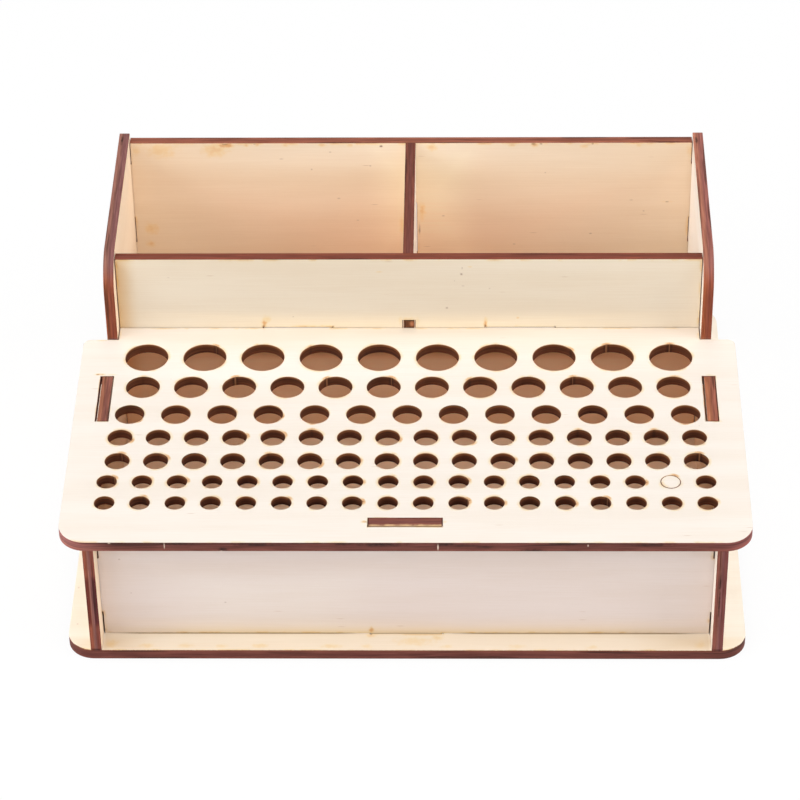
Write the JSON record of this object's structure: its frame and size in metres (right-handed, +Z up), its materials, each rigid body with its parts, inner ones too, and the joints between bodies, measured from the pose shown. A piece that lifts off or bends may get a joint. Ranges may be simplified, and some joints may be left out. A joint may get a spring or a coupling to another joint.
{
  "type": "tool holder stand",
  "caption": "Desk stand for small tools, of slotted plywood boards: a raised deck with graded rows of round holes in front of two open bins.",
  "frame": {"origin": "on the table, under the middle of the base board's underside", "axes": "+X along the width to the right, +Y from the holes towards the bins, +Z up"},
  "size_m": [0.25, 0.2074, 0.0915],
  "materials": {
    "plywood": "bare pale plywood, laser-browned edges"
  },
  "bodies": {
    "root": {"base_plate": "plywood", "side_board_left": "plywood", "side_board_right": "plywood", "lower_front_board": "plywood", "bin_front_board": "plywood", "bin_divider": "plywood", "rear_board": "plywood", "hole_deck": "plywood", "leftover_disc": "plywood"}
  },
  "joints": []
}
